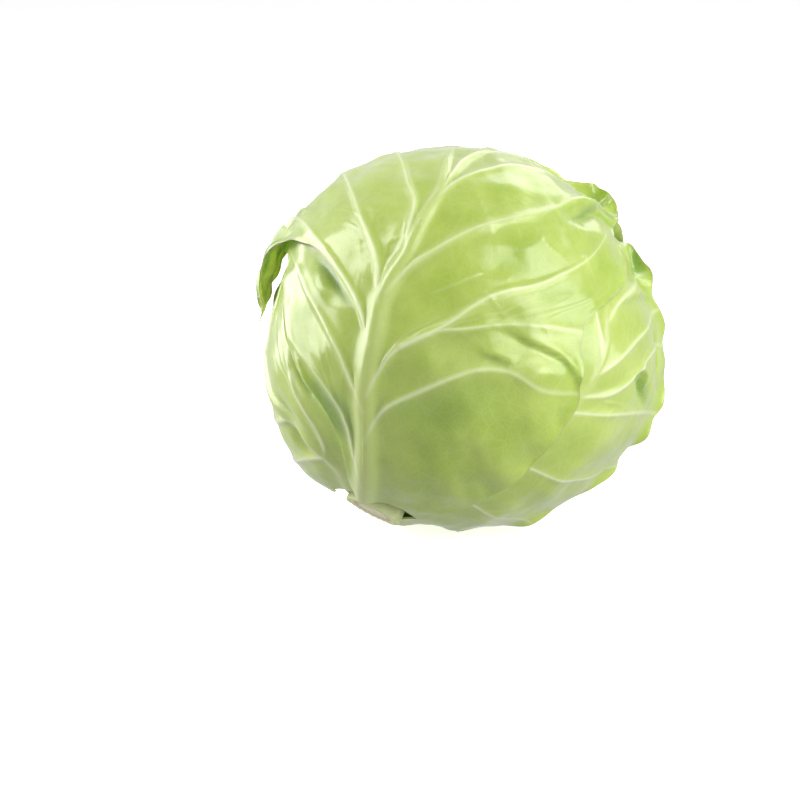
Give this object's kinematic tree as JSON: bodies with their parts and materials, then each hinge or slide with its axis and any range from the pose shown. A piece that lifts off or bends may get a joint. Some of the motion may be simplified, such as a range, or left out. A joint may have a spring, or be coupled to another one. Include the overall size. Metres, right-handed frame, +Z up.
{
  "type": "green cabbage",
  "caption": "Whole green cabbage head lying on its side: a dense heart in overlapping, ribbed wrapper leaves, with a torn leaf corner and a cut stem.",
  "frame": {"origin": "on the surface that the head lies on, under the middle of its bounding box", "axes": "+Z up, -Y towards the side with the thick midrib, +X along the head's widest way, away from the hanging leaf corner"},
  "size_m": [0.1882, 0.178, 0.1754],
  "materials": {
    "outer_leaf": "waxy, semi-gloss leaf with pale ribs",
    "inner_leaf": "waxy, semi-gloss leaf, paler than the outer ones",
    "cut_stem": "dull, slightly dried cut"
  },
  "bodies": {
    "root": {"heart": "inner_leaf", "front_leaf": "outer_leaf", "left_leaf": "outer_leaf", "right_leaf": "outer_leaf", "back_leaf": "outer_leaf", "stem": "cut_stem"}
  },
  "joints": []
}
